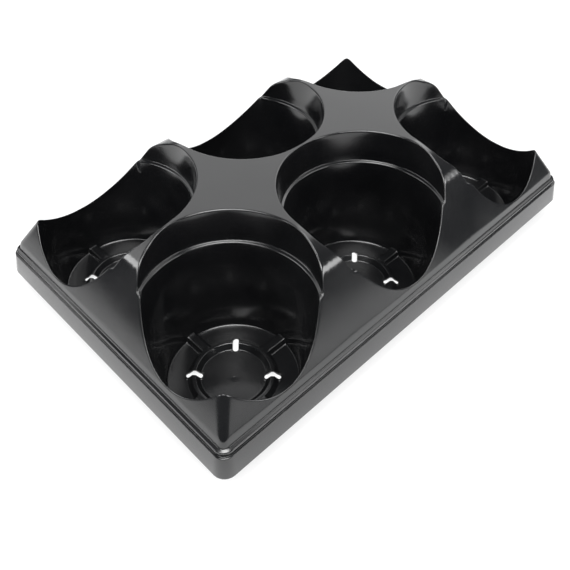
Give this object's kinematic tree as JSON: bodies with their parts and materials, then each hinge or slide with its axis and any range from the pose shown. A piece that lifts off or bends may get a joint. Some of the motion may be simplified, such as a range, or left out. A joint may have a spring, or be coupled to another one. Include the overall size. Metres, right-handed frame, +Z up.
{
  "type": "pot carry tray",
  "caption": "Vacuum-formed rectangular tray with tapered round pockets that hold plant pots upright for carrying, with scalloped sides and a skirt.",
  "frame": {"origin": "centre of the tray's outline on the surface that the pocket floors stand on", "axes": "+X along the long side, +Y along the short side, +Z up from the floor to the deck"},
  "size_m": [0.406, 0.2674, 0.1065],
  "materials": {
    "sheet": "satin"
  },
  "bodies": {
    "root": {"base_rim": "sheet", "corner_peak_r0_c0": "sheet", "side_fin_r0_c1": "sheet", "side_fin_r0_c2": "sheet", "corner_peak_r0_c3": "sheet", "side_fin_r1_c0": "sheet", "deck_star_r1_c1": "sheet", "deck_star_r1_c2": "sheet", "side_fin_r1_c3": "sheet", "corner_peak_r2_c0": "sheet", "side_fin_r2_c1": "sheet", "side_fin_r2_c2": "sheet", "corner_peak_r2_c3": "sheet", "pocket_wall_r1_c1": "sheet", "pocket_wall_r1_c2": "sheet", "pocket_wall_r1_c3": "sheet", "pocket_wall_r2_c1": "sheet", "pocket_wall_r2_c2": "sheet", "pocket_wall_r2_c3": "sheet", "pocket_floor_r1_c1": "sheet", "pocket_floor_r1_c2": "sheet", "pocket_floor_r1_c3": "sheet", "pocket_floor_r2_c1": "sheet", "pocket_floor_r2_c2": "sheet", "pocket_floor_r2_c3": "sheet"}
  },
  "joints": []
}
